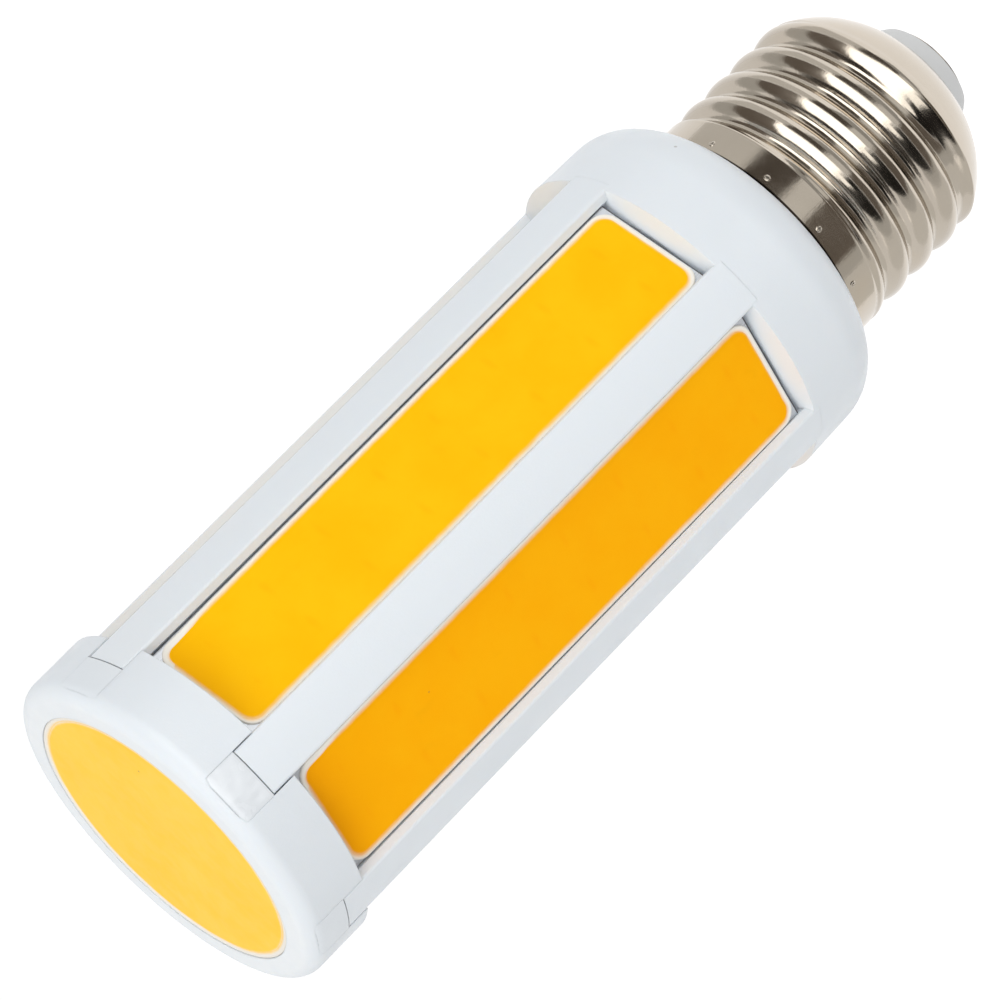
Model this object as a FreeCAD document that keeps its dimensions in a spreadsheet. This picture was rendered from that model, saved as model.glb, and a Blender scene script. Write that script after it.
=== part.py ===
import FreeCAD, Part
import Sketcher
import math
import os

doc = FreeCAD.newDocument("corn_led_bulb")
V = FreeCAD.Vector
Rot = FreeCAD.Rotation

# Sheet of sizes. Lengths in mm, angles in degrees. Z is the bulb axis, contact tip at zero.
dims = doc.addObject("Spreadsheet::Sheet", "dims")
dims.Label = "dims"

sizes = [
    # Whole bulb
    ("overall_len", "109.4"),
    ("side_count", "6"),
    ("cut_over", "1.0"),
    # Front ring
    ("ring_r", "18.35"),
    ("ring_len", "7.35"),
    ("ring_edge_r", "1.7"),
    ("ring_lip_w", "3.35"),
    ("ring_lip_th", "0.6"),
    ("ring_wall", "1.6"),
    ("ring_skirt_wall", "1.1"),
    ("ring_skirt_len", "2.1"),
    ("ring_skirt_bevel", "0.4"),
    ("panel_sink", "0.3"),
    ("panel_from_face", "0.95"),
    # Bars between the windows
    ("bar_drop", "0.2"),
    ("bar_lean", "0.18"),
    ("bar_half_w", "2.62"),
    ("bar_crown", "0.45"),
    ("bar_side", "0.75"),
    ("bar_edge_r", "0.3"),
    ("bar_neck_step", "0.22"),
    ("bar_foot", "1.35"),
    ("bar_foot_half_w", "1.6"),
    ("bar_from_face", "4.85"),
    ("bar_root_in_deck", "1.4"),
    ("bar_fit", "0.1"),
    # Neck of the housing
    ("rim_drop", "0.22"),
    ("neck_drop", "0.38"),
    ("neck_len", "10.95"),
    ("shoulder_rise", "5.2"),
    ("shoulder_r", "5.28"),
    ("neck_overhang", "0.45"),
    ("deck_rise", "0.7"),
    ("deck_slope_w", "2.5"),
    ("deck_th", "2.3"),
    ("deck_bore_step", "1.75"),
    ("neck_wall", "1.52"),
    ("hollow_low_step", "3.37"),
    ("hollow_low_rise", "2.7"),
    ("hollow_mid_step", "1.67"),
    ("hollow_mid_rise", "4.8"),
    ("rim_groove_depth", "1.2"),
    ("spigot_fit", "0.05"),
    ("spigot_wall", "1.3"),
    ("spigot_len", "3.2"),
    ("spigot_floor_rise", "2.3"),
    ("rib_half_w", "2.2"),
    ("rib_reach", "1.5"),
    ("rib_rise", "3.4"),
    ("rib_sink", "0.5"),
    ("slot_rise", "4.4"),
    ("slot_fit", "0.1"),
    # Metal cap
    ("band_r", "13.15"),
    ("band_len", "4.12"),
    ("band_step", "0.6"),
    ("sheet_th", "0.3"),
    ("root_drop", "0.9"),
    ("root_len", "12.83"),
    ("root_step", "0.5"),
    ("shoulder_len", "0.5"),
    ("shoulder_drop", "0.27"),
    ("dome_len", "5.35"),
    ("dome_arc_r", "10.8"),
    ("dome_drop", "5.85"),
    ("cap_end_z", "3.55"),
    ("rim_fit", "0.1"),
    ("rim_tuck", "0.2"),
    ("bore_step", "0.1"),
    ("thread_pitch", "3.629"),
    ("thread_half_w", "1.72"),
    ("thread_arc_r", "2.01"),
    ("thread_lead", "0.03"),
    ("thread_turn", "46.6"),
    ("thread_run_out", "3.3"),
    # Insulator and centre contact
    ("plug_end_z", "1.1"),
    ("plug_taper", "1.45"),
    ("plug_mouth_fit", "0.5"),
    ("plug_cone_z", "3.4"),
    ("plug_brim_w", "2.45"),
    ("plug_fit", "0.05"),
    ("plug_top_z", "7.2"),
    ("shank_r", "1.55"),
    ("shank_fit", "0.05"),
    ("shank_top_z", "7.6"),
    ("button_inset", "0.7"),
    ("button_edge_z", "0.65"),
    ("button_arc_r", "18.05"),
    # Side light strips
    ("plate_th", "1.0"),
    ("plate_under_bar", "0.21"),
    ("plate_side_gap", "0.02"),
    ("plate_from_face", "6.4"),
    ("plate_deck_gap", "0.25"),
    ("dam_edge", "0.12"),
    ("dam_front_gap", "1.45"),
    ("dam_th", "0.34"),
    ("dam_corner_r", "1.9"),
    ("glow_edge", "0.3"),
    ("glow_end_gap", "0.3"),
    ("glow_th", "0.28"),
    ("glow_corner_r", "1.65"),
    # End light
    ("end_plate_fit", "0.15"),
    ("end_plate_th", "1.0"),
    ("end_dam_fit", "0.07"),
    ("end_dam_th", "0.38"),
    ("end_dam_w", "0.5"),
    ("end_glow_th", "0.3"),
    # Core tube
    ("core_wall", "1.2"),
    ("core_corner_rise", "0.85"),
    ("core_slot_w", "3.0"),
    ("core_slot_depth", "2.0"),
    # Driver board and wiring
    ("board_th", "1.6"),
    ("board_edge_gap", "0.25"),
    ("board_tail_gap", "2.15"),
    ("board_low_z", "12.2"),
    ("board_rise", "20.3"),
    ("link_fit", "0.05"),
    ("link_th", "1.2"),
    ("link_gap", "1.6"),
    ("wire_r", "0.6"),
    ("lead_r", "0.45"),
    ("lead_bend_r", "0.9"),
    ("feed_x", "3.0"),
    ("lead_on_board", "1.3"),
    ("elcap_r", "4.0"),
    ("elcap_len", "13.0"),
    ("elcap_rise", "2.6"),
    ("coil_w", "10.0"),
    ("coil_y", "8.0"),
    ("coil_len", "6.2"),
    ("coil_gap", "0.3"),
    ("film_gap", "0.75"),
    ("film_y", "6.0"),
    ("film_len", "7.5"),
    ("film_rise", "4.2"),
    ("bridge_w", "4.8"),
    ("bridge_y", "2.6"),
    ("bridge_len", "6.0"),
    ("bridge_rise", "4.8"),
    ("chip_w", "5.0"),
    ("chip_y", "1.6"),
    ("chip_len", "4.9"),
    ("chip_rise", "20.8"),
    ("fuse_r", "1.75"),
    ("fuse_len", "9.0"),
    ("fuse_inset", "2.8"),
    ("fuse_rise", "1.4"),
    ("tail_rise", "7.8"),
    ("tail_fit", "0.05"),
]

derived = [
    # Cap from the tip upwards
    ("shoulder_low_z", "=cap_end_z + dome_len"),
    ("shoulder_top_z", "=shoulder_low_z + shoulder_len"),
    ("root_low_z", "=shoulder_top_z + root_step"),
    ("root_top_z", "=root_low_z + root_len"),
    ("band_low_z", "=root_top_z + band_step"),
    ("neck_end_z", "=band_low_z + band_len"),
    ("thread_start_z", "=shoulder_low_z - thread_lead"),
    ("thread_rise", "=root_len + thread_run_out"),
    ("root_r", "=band_r - root_drop"),
    ("cap_shoulder_r", "=band_r - shoulder_drop"),
    ("cap_mouth_r", "=band_r - dome_drop"),
    ("dome_dr", "=cap_shoulder_r - cap_mouth_r"),
    ("dome_dz", "=shoulder_low_z - cap_end_z"),
    ("dome_chord", "=sqrt(dome_dr ^ 2 + dome_dz ^ 2)"),
    ("dome_reach", "=sqrt(dome_arc_r ^ 2 - (dome_chord / 2) ^ 2)"),
    ("dome_mid_r", "=(cap_mouth_r + cap_shoulder_r) / 2 - dome_dz / dome_chord * dome_reach"),
    ("dome_mid_z", "=(cap_end_z + shoulder_low_z) / 2 + dome_dr / dome_chord * dome_reach"),
    ("dome_in_r", "=dome_arc_r - sheet_th"),
    ("bore_r", "=root_r - sheet_th"),
    ("bore_low_z", "=dome_mid_z - sqrt(dome_in_r ^ 2 - (bore_r - dome_mid_r) ^ 2)"),
    ("mouth_in_r", "=cap_mouth_r - sheet_th"),
    ("mouth_in_z", "=dome_mid_z - sqrt(dome_in_r ^ 2 - (mouth_in_r - dome_mid_r) ^ 2)"),
    ("band_in_z", "=neck_end_z - rim_fit"),
    ("rim_out_r", "=band_r - rim_tuck"),
    ("rim_in_r", "=rim_out_r - sheet_th"),
    # Insulator and centre contact
    ("plug_cone_r", "=cap_mouth_r - plug_mouth_fit"),
    ("plug_end_r", "=plug_cone_r - plug_taper"),
    ("plug_flange_r", "=plug_cone_r + plug_brim_w"),
    ("plug_arc_r", "=dome_in_r - plug_fit"),
    ("plug_seat_z", "=dome_mid_z - sqrt(plug_arc_r ^ 2 - (plug_cone_r - dome_mid_r) ^ 2)"),
    ("plug_brim_z", "=dome_mid_z - sqrt(plug_arc_r ^ 2 - (plug_flange_r - dome_mid_r) ^ 2)"),
    ("button_r", "=plug_end_r - button_inset"),
    # Neck
    ("rim_z", "=neck_end_z + neck_len"),
    ("deck_z", "=rim_z + deck_rise"),
    ("deck_low_z", "=deck_z - deck_th"),
    ("shoulder_z", "=neck_end_z + shoulder_rise"),
    ("groove_z", "=neck_end_z + rim_groove_depth"),
    ("hollow_low_z", "=neck_end_z + hollow_low_rise"),
    ("hollow_mid_z", "=neck_end_z + hollow_mid_rise"),
    ("spigot_floor_z", "=neck_end_z + spigot_floor_rise"),
    ("spigot_low_z", "=neck_end_z - spigot_len"),
    ("rib_low_z", "=neck_end_z + rib_rise"),
    ("slot_floor_z", "=neck_end_z + slot_rise"),
    ("rim_r", "=ring_r - rim_drop"),
    ("neck_r", "=ring_r - neck_drop"),
    ("neck_end_r", "=band_r + neck_overhang"),
    ("neck_bore_r", "=neck_r - neck_wall"),
    ("hollow_low_r", "=neck_r - hollow_low_step"),
    ("hollow_mid_r", "=neck_r - hollow_mid_step"),
    ("spigot_r", "=rim_in_r - spigot_fit"),
    ("spigot_bore_r", "=spigot_r - spigot_wall"),
    ("deck_flat_r", "=rim_r - deck_slope_w"),
    # Bars
    ("bar_r", "=ring_r - bar_drop"),
    ("bar_side_top_r", "=bar_r - bar_crown"),
    ("bar_side_low_r", "=bar_side_top_r - bar_side"),
    ("bar_foot_r", "=bar_side_low_r - bar_foot"),
    ("bar_neck_half_w", "=bar_half_w - bar_neck_step"),
    ("bar_base_z", "=deck_z - bar_root_in_deck"),
    ("bar_top_z", "=overall_len - bar_from_face"),
    ("bar_slope", "=bar_lean / (bar_top_z - bar_base_z)"),
    # Light strips with their corners under the bars, and the core inside them
    ("plate_corner_r", "=bar_side_low_r - plate_under_bar"),
    ("plate_corner_off", "=bar_neck_half_w + plate_side_gap"),
    ("plate_face", "=plate_corner_r * cos(30) + plate_corner_off * sin(30)"),
    ("plate_back", "=plate_face - plate_th"),
    ("plate_w", "=2 * (plate_corner_r * sin(30) - plate_corner_off * cos(30))"),
    ("plate_low_z", "=deck_z + plate_deck_gap"),
    ("plate_top_z", "=overall_len - plate_from_face"),
    ("dam_w", "=plate_w - 2 * dam_edge"),
    ("dam_low_z", "=plate_low_z + dam_edge"),
    ("dam_top_z", "=plate_top_z - dam_front_gap"),
    ("glow_w", "=dam_w - 2 * glow_edge"),
    ("glow_low_z", "=dam_low_z + glow_end_gap"),
    ("glow_top_z", "=dam_top_z - glow_end_gap"),
    ("core_bore", "=plate_back - core_wall"),
    ("core_corner", "=plate_back + core_corner_rise"),
    ("deck_bore_r", "=plate_back - deck_bore_step"),
    # Front ring and end light
    ("ring_lip_r", "=ring_r - ring_lip_w"),
    ("ring_bore_r", "=ring_r - ring_wall"),
    ("ring_skirt_r", "=ring_r - ring_skirt_wall"),
    ("ring_low_z", "=overall_len - ring_len"),
    ("notch_top_z", "=bar_top_z + bar_fit"),
    ("notch_half_w", "=bar_half_w + bar_fit"),
    ("panel_r", "=ring_r - panel_sink"),
    ("end_plate_r", "=ring_bore_r - end_plate_fit"),
    ("end_plate_top_z", "=overall_len - ring_lip_th"),
    ("end_plate_low_z", "=end_plate_top_z - end_plate_th"),
    ("end_dam_r", "=ring_lip_r - end_dam_fit"),
    ("end_glow_r", "=end_dam_r - end_dam_w"),
    ("core_len", "=end_plate_low_z - deck_z"),
    # Driver and wiring
    ("board_half_w", "=core_bore - board_edge_gap"),
    ("board_tail_half_w", "=bore_r - board_tail_gap"),
    ("board_top_z", "=deck_z + board_rise"),
    ("slot_half_w", "=board_th / 2 + slot_fit"),
    ("slot_end_r", "=board_half_w + slot_fit"),
    ("rib_in_r", "=board_half_w - rib_reach"),
    ("link_r", "=core_bore - link_fit"),
    ("link_top_z", "=end_plate_low_z - link_gap"),
    ("link_low_z", "=link_top_z - link_th"),
    ("lead_z", "=link_top_z + lead_r"),
    ("lead_off", "=plate_back + plate_th / 2"),
    ("lead_end", "=link_r - lead_on_board"),
    ("elcap_z", "=deck_z + elcap_rise"),
    ("coil_z", "=deck_low_z - coil_gap - coil_len"),
    ("film_z", "=board_low_z + film_rise"),
    ("bridge_z", "=board_low_z + bridge_rise"),
    ("chip_z", "=board_low_z + chip_rise"),
    ("fuse_x", "=board_tail_half_w - fuse_inset"),
    ("fuse_z", "=board_low_z + fuse_rise"),
    ("film_w", "=2 * (fuse_x - fuse_r - film_gap)"),
    ("tail_z", "=board_low_z + tail_rise"),
]

row = 1
for name, value in sizes + derived:
    dims.set("A%d" % row, name)
    dims.set("B%d" % row, value)
    dims.setAlias("B%d" % row, name)
    row += 1
doc.recompute()


def val(expr):
    """Value of a sheet expression, used only for the first placing of a sketch point."""
    table = {n: float(dims.get(n)) for n, v in sizes + derived}
    total = 0.0
    sign = 1.0
    for word in expr.replace("-", " - ").replace("+", " + ").split():
        if word == "-":
            sign = -1.0
        elif word == "+":
            sign = 1.0
        else:
            scale = 1.0
            if "/" in word:
                word, under = word.split("/")
                scale = 1.0 / float(under)
            number = table[word] if word in table else float(word)
            total += sign * number * scale
            sign = 1.0
    return total


def linked(expr):
    """Same expression with the sheet named before every size."""
    out = []
    known = {n for n, v in sizes + derived}
    for word in expr.replace("-", " - ").replace("+", " + ").replace("/", " / ").split():
        out.append("dims." + word if word in known else word)
    return " ".join(out)


def arc_between(p, q, radius, side):
    """Arc from p to q with its centre on the given side of the chord (1 left, -1 right)."""
    mid = (p + q) * 0.5
    chord = q - p
    half = chord.Length / 2
    rise = math.sqrt(max(radius * radius - half * half, 0.0))
    normal = V(-chord.y, chord.x, 0)
    normal.normalize()
    centre = mid + normal * (rise * side)
    a0 = math.atan2(p.y - centre.y, p.x - centre.x)
    a1 = math.atan2(q.y - centre.y, q.x - centre.x)
    circle = Part.Circle(centre, V(0, 0, 1), radius)
    if side > 0:
        return Part.ArcOfCircle(circle, a0, a1), 1, 2
    return Part.ArcOfCircle(circle, a1, a0), 2, 1


def outline(sketch, points, arcs=None, is_open=False):
    """Outline through points, pairs of sheet expressions. Arcs give a radius for one side."""
    arcs = arcs or {}
    ends = []
    count = len(points)
    sides = count - 1 if is_open else count
    for i in range(sides):
        p = V(val(points[i][0]), val(points[i][1]), 0)
        q = V(val(points[(i + 1) % count][0]), val(points[(i + 1) % count][1]), 0)
        if i in arcs:
            radius, side = arcs[i]
            curve, first, last = arc_between(p, q, val(radius), side)
            index = sketch.addGeometry(curve, False)
            rule = sketch.addConstraint(Sketcher.Constraint("Radius", index, val(radius)))
            sketch.setExpression("Constraints[%d]" % rule, linked(radius))
        else:
            index = sketch.addGeometry(Part.LineSegment(p, q), False)
            first, last = 1, 2
        ends.append((index, first, last))
    for i in range(sides):
        if is_open and i == sides - 1:
            continue
        index, first, last = ends[i]
        after = ends[(i + 1) % count]
        sketch.addConstraint(Sketcher.Constraint("Coincident", index, last, after[0], after[1]))
    corners = [(index, first) for index, first, last in ends]
    if is_open:
        corners.append((ends[-1][0], ends[-1][2]))
    for i in range(count):
        index, first = corners[i]
        for kind, expr, axis in (("DistanceX", points[i][0], -2), ("DistanceY", points[i][1], -1)):
            if expr == "0":
                sketch.addConstraint(Sketcher.Constraint("PointOnObject", index, first, axis))
                continue
            rule = sketch.addConstraint(
                Sketcher.Constraint(kind, -1, 1, index, first, val(expr)))
            sketch.setExpression("Constraints[%d]" % rule, linked(expr))


def disc_outline(sketch, radius):
    """Circle about the sketch origin."""
    index = sketch.addGeometry(Part.Circle(V(0, 0, 0), V(0, 0, 1), val(radius)), False)
    sketch.addConstraint(Sketcher.Constraint("Coincident", index, 3, -1, 1))
    rule = sketch.addConstraint(Sketcher.Constraint("Radius", index, val(radius)))
    sketch.setExpression("Constraints[%d]" % rule, linked(radius))


def plane_of(body, role):
    for item in body.Origin.OriginFeatures:
        if item.Role == role:
            return item
    return None


nodes = []


def new_body(label, turn=0.0):
    body = doc.addObject("PartDesign::Body", label)
    body.Label = label
    body.Placement = FreeCAD.Placement(V(0, 0, 0), Rot(V(0, 0, 1), turn))
    nodes.append(body)
    return body


def new_sketch(body, role, offset=None):
    sketch = body.newObject("Sketcher::SketchObject", body.Name + "_sketch")
    sketch.AttachmentSupport = [(plane_of(body, role), "")]
    sketch.MapMode = "FlatFace"
    if offset is not None:
        sketch.setExpression("AttachmentOffset.Base.z", linked(offset))
    return sketch


def revolve(body, kind, sketch):
    feature = body.newObject("PartDesign::" + kind, body.Name + "_turned")
    feature.Profile = sketch
    feature.ReferenceAxis = (plane_of(body, "Z_Axis"), [""])
    feature.Angle = 360.0
    return feature


def pad(body, sketch, length, middle=False, back=False):
    feature = body.newObject("PartDesign::Pad", body.Name + "_pad")
    feature.Profile = sketch
    feature.setExpression("Length", linked(length))
    feature.Midplane = middle
    feature.Reversed = back
    return feature


def pocket(body, sketch, length, back=False):
    feature = body.newObject("PartDesign::Pocket", body.Name + "_cut")
    feature.Profile = sketch
    feature.setExpression("Length", linked(length))
    feature.Reversed = back
    return feature


def around(body, features):
    pattern = body.newObject("PartDesign::PolarPattern", body.Name + "_ring")
    pattern.Originals = features
    pattern.Axis = (plane_of(body, "Z_Axis"), [""])
    pattern.Angle = 360.0
    pattern.setExpression("Occurrences", "dims.side_count")
    body.Tip = pattern
    return pattern


def rounded(w, low, high, radius):
    """Upright rounded rectangle on the middle line, as points and corner arcs."""
    points = [
        ("- %s/2 + %s" % (w, radius), low),
        ("%s/2 - %s" % (w, radius), low),
        ("%s/2" % w, "%s + %s" % (low, radius)),
        ("%s/2" % w, "%s - %s" % (high, radius)),
        ("%s/2 - %s" % (w, radius), high),
        ("- %s/2 + %s" % (w, radius), high),
        ("- %s/2" % w, "%s - %s" % (high, radius)),
        ("- %s/2" % w, "%s + %s" % (low, radius)),
    ]
    arcs = {1: (radius, 1), 3: (radius, 1), 5: (radius, 1), 7: (radius, 1)}
    return points, arcs


# Housing: hollow neck with the six bars moulded on, ribs inside for the driver board
housing = new_body("housing")
neck = new_sketch(housing, "XZ_Plane")
outline(neck, [
    ("deck_bore_r", "deck_z"),
    ("deck_bore_r", "deck_low_z"),
    ("neck_bore_r", "deck_low_z"),
    ("hollow_mid_r", "hollow_mid_z"),
    ("hollow_low_r", "hollow_low_z"),
    ("spigot_bore_r", "spigot_floor_z"),
    ("spigot_bore_r", "spigot_low_z"),
    ("spigot_r", "spigot_low_z"),
    ("spigot_r", "groove_z"),
    ("neck_end_r", "groove_z"),
    ("neck_end_r", "neck_end_z"),
    ("neck_r", "shoulder_z"),
    ("rim_r", "rim_z"),
    ("deck_flat_r", "deck_z"),
], {10: ("shoulder_r", 1)})
revolve(housing, "Revolution", neck)

ribs = new_sketch(housing, "XY_Plane", "rib_low_z")
outline(ribs, [
    ("rib_in_r", "- rib_half_w"),
    ("neck_bore_r", "- rib_half_w"),
    ("neck_bore_r", "rib_half_w"),
    ("rib_in_r", "rib_half_w"),
])
rib_pad = pad(housing, ribs, "deck_low_z - rib_low_z + rib_sink")
rib_pair = housing.newObject("PartDesign::PolarPattern", "rib_pair")
rib_pair.Originals = [rib_pad]
rib_pair.Axis = (plane_of(housing, "Z_Axis"), [""])
rib_pair.Angle = 360.0
rib_pair.Occurrences = 2
housing.Tip = rib_pair

slots = new_sketch(housing, "XY_Plane", "slot_floor_z")
outline(slots, [
    ("- slot_end_r", "- slot_half_w"),
    ("slot_end_r", "- slot_half_w"),
    ("slot_end_r", "slot_half_w"),
    ("- slot_end_r", "slot_half_w"),
])
doc.recompute()
before = housing.Shape.Volume
slot_cut = pocket(housing, slots, "deck_z - slot_floor_z + cut_over", True)
doc.recompute()
assert housing.Shape.Volume < before - 5.0, "board slot missed the ribs"

bars = new_sketch(housing, "XY_Plane", "bar_base_z")
outline(bars, [
    ("- bar_foot_half_w", "bar_foot_r"),
    ("bar_foot_half_w", "bar_foot_r"),
    ("bar_neck_half_w", "bar_side_low_r"),
    ("bar_half_w", "bar_side_low_r"),
    ("bar_half_w", "bar_side_top_r"),
    ("bar_half_w - bar_edge_r", "bar_side_top_r + bar_edge_r"),
    ("- bar_half_w + bar_edge_r", "bar_side_top_r + bar_edge_r"),
    ("- bar_half_w", "bar_side_top_r"),
    ("- bar_half_w", "bar_side_low_r"),
    ("- bar_neck_half_w", "bar_side_low_r"),
], {4: ("bar_edge_r", 1), 5: ("bar_r", 1), 6: ("bar_edge_r", 1)})
bar_pad = pad(housing, bars, "bar_top_z - bar_base_z")
bar_pad.UseCustomVector = True
bar_pad.AlongSketchNormal = True
bar_pad.Direction = V(0, 0, 1)
bar_pad.setExpression("Direction.y", "dims.bar_slope")
around(housing, [bar_pad])

# Front ring: bezel that holds the end light, notched for the bar ends
front_ring = new_body("front_ring")
bezel = new_sketch(front_ring, "XZ_Plane")
outline(bezel, [
    ("ring_lip_r", "overall_len - ring_lip_th"),
    ("ring_bore_r", "overall_len - ring_lip_th"),
    ("ring_bore_r", "ring_low_z + ring_skirt_len + ring_skirt_bevel"),
    ("ring_skirt_r", "ring_low_z + ring_skirt_len"),
    ("ring_skirt_r", "ring_low_z"),
    ("ring_r", "ring_low_z"),
    ("ring_r", "overall_len - ring_edge_r"),
    ("ring_r - ring_edge_r", "overall_len"),
    ("ring_lip_r", "overall_len"),
], {6: ("ring_edge_r", 1)})
revolve(front_ring, "Revolution", bezel)
notch = new_sketch(front_ring, "XY_Plane", "ring_low_z")
outline(notch, [
    ("- notch_half_w", "ring_lip_r"),
    ("notch_half_w", "ring_lip_r"),
    ("notch_half_w", "ring_r + cut_over"),
    ("- notch_half_w", "ring_r + cut_over"),
])
doc.recompute()
before = front_ring.Shape.Volume
notch_cut = pocket(front_ring, notch, "notch_top_z - ring_low_z", True)
panel = new_sketch(front_ring, "XY_Plane", "notch_top_z")
outline(panel, [
    ("- notch_half_w", "panel_r"),
    ("notch_half_w", "panel_r"),
    ("notch_half_w", "ring_r + cut_over"),
    ("- notch_half_w", "ring_r + cut_over"),
])
panel_cut = pocket(front_ring, panel, "overall_len - panel_from_face - notch_top_z", True)
around(front_ring, [notch_cut, panel_cut])
doc.recompute()
assert front_ring.Shape.Volume < before - 60.0, "ring notches missed the wall"

# Metal cap: turned shell, knuckle thread wound round it, then hollowed from both ends
cap_shell = new_body("cap_shell")
cap_shell.setExpression("Placement.Rotation.Angle", "dims.thread_turn * 1 deg")
shell_out = new_sketch(cap_shell, "XZ_Plane")
outline(shell_out, [
    ("0", "cap_end_z"),
    ("cap_mouth_r", "cap_end_z"),
    ("cap_shoulder_r", "shoulder_low_z"),
    ("cap_shoulder_r", "shoulder_top_z"),
    ("root_r", "root_low_z"),
    ("root_r", "root_top_z"),
    ("band_r", "band_low_z"),
    ("band_r", "band_in_z"),
    ("rim_out_r", "band_in_z"),
    ("rim_out_r", "groove_z"),
    ("0", "groove_z"),
], {1: ("dome_arc_r", 1)})
revolve(cap_shell, "Revolution", shell_out)
crest = new_sketch(cap_shell, "XZ_Plane")
outline(crest, [
    ("- bore_r", "thread_start_z - thread_half_w"),
    ("- bore_r", "thread_start_z + thread_half_w"),
    ("- root_r", "thread_start_z + thread_half_w"),
    ("- root_r", "thread_start_z - thread_half_w"),
], {2: ("thread_arc_r", 1)})
thread = cap_shell.newObject("PartDesign::AdditiveHelix", "thread")
thread.Profile = crest
thread.ReferenceAxis = (plane_of(cap_shell, "Z_Axis"), [""])
thread.Mode = 0
thread.setExpression("Pitch", "dims.thread_pitch")
thread.setExpression("Height", "dims.thread_rise")
thread.LeftHanded = False
thread.Reversed = False
hollow = new_sketch(cap_shell, "XZ_Plane")
outline(hollow, [
    ("0", "cap_end_z - cut_over"),
    ("mouth_in_r", "cap_end_z - cut_over"),
    ("mouth_in_r", "mouth_in_z"),
    ("bore_r", "bore_low_z"),
    ("bore_r", "band_low_z + bore_step"),
    ("band_r - sheet_th", "band_low_z + bore_step"),
    ("band_r - sheet_th", "band_in_z - sheet_th"),
    ("rim_in_r", "band_in_z - sheet_th"),
    ("rim_in_r", "groove_z + cut_over"),
    ("0", "groove_z + cut_over"),
], {2: ("dome_in_r", 1)})
doc.recompute()
before = cap_shell.Shape.Volume
revolve(cap_shell, "Groove", hollow)
doc.recompute()
assert cap_shell.Shape.Volume < before * 0.5, "cap was not hollowed"

# Insulator plug of the cap
insulator = new_body("cap_insulator")
plug = new_sketch(insulator, "XZ_Plane")
outline(plug, [
    ("shank_r + shank_fit", "plug_end_z"),
    ("plug_end_r", "plug_end_z"),
    ("plug_cone_r", "plug_cone_z"),
    ("plug_cone_r", "plug_seat_z"),
    ("plug_flange_r", "plug_brim_z"),
    ("plug_flange_r", "plug_top_z"),
    ("shank_r + shank_fit", "plug_top_z"),
], {3: ("plug_arc_r", 1)})
revolve(insulator, "Revolution", plug)

# Centre contact button with its shank
contact = new_body("centre_contact")
button = new_sketch(contact, "XZ_Plane")
outline(button, [
    ("0", "0"),
    ("button_r", "button_edge_z"),
    ("button_r", "plug_end_z"),
    ("shank_r", "plug_end_z"),
    ("shank_r", "shank_top_z"),
    ("0", "shank_top_z"),
], {0: ("button_arc_r", 1)})
revolve(contact, "Revolution", button)

# Six side light strips, each a metal plate with a pale dam and a glowing layer
for i in range(6):
    turn = 60.0 * i
    plate = new_body("cob_plate_%d" % (i + 1), turn)
    face = new_sketch(plate, "YZ_Plane", "plate_back")
    outline(face, [
        ("- plate_w/2", "plate_low_z"),
        ("plate_w/2", "plate_low_z"),
        ("plate_w/2", "plate_top_z"),
        ("- plate_w/2", "plate_top_z"),
    ])
    pad(plate, face, "plate_th")
for i in range(6):
    turn = 60.0 * i
    dam = new_body("cob_dam_%d" % (i + 1), turn)
    frame = new_sketch(dam, "YZ_Plane", "plate_face")
    points, arcs = rounded("dam_w", "dam_low_z", "dam_top_z", "dam_corner_r")
    outline(frame, points, arcs)
    points, arcs = rounded("glow_w", "glow_low_z", "glow_top_z", "glow_corner_r")
    outline(frame, points, arcs)
    pad(dam, frame, "dam_th")
for i in range(6):
    turn = 60.0 * i
    glow = new_body("cob_phosphor_%d" % (i + 1), turn)
    layer = new_sketch(glow, "YZ_Plane", "plate_face")
    points, arcs = rounded("glow_w", "glow_low_z", "glow_top_z", "glow_corner_r")
    outline(layer, points, arcs)
    pad(glow, layer, "glow_th")

# End light: round plate under the bezel lip, with its dam and glowing disc
end_plate = new_body("end_plate")
round_plate = new_sketch(end_plate, "XY_Plane", "end_plate_low_z")
disc_outline(round_plate, "end_plate_r")
pad(end_plate, round_plate, "end_plate_th")
end_dam = new_body("end_dam")
round_dam = new_sketch(end_dam, "XY_Plane", "end_plate_top_z")
disc_outline(round_dam, "end_dam_r")
disc_outline(round_dam, "end_glow_r")
pad(end_dam, round_dam, "end_dam_th")
end_glow = new_body("end_phosphor")
round_glow = new_sketch(end_glow, "XY_Plane", "end_plate_top_z")
disc_outline(round_glow, "end_glow_r")
pad(end_glow, round_glow, "end_glow_th")

# Driver board, wide above the slot floors and narrow inside the cap
board = new_body("driver_board")
card = new_sketch(board, "XZ_Plane")
outline(card, [
    ("- board_tail_half_w", "board_low_z"),
    ("board_tail_half_w", "board_low_z"),
    ("board_tail_half_w", "slot_floor_z"),
    ("board_half_w", "slot_floor_z"),
    ("board_half_w", "board_top_z"),
    ("- board_half_w", "board_top_z"),
    ("- board_half_w", "slot_floor_z"),
    ("- board_tail_half_w", "slot_floor_z"),
])
pad(board, card, "board_th", True)


def bind(item, table):
    for key, expr in table.items():
        item.setExpression(key, expr)


def primitive(kind, label, table, keep=True):
    item = doc.addObject("Part::" + kind, label)
    item.Label = label
    bind(item, table)
    if keep:
        nodes.append(item)
    return item


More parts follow.
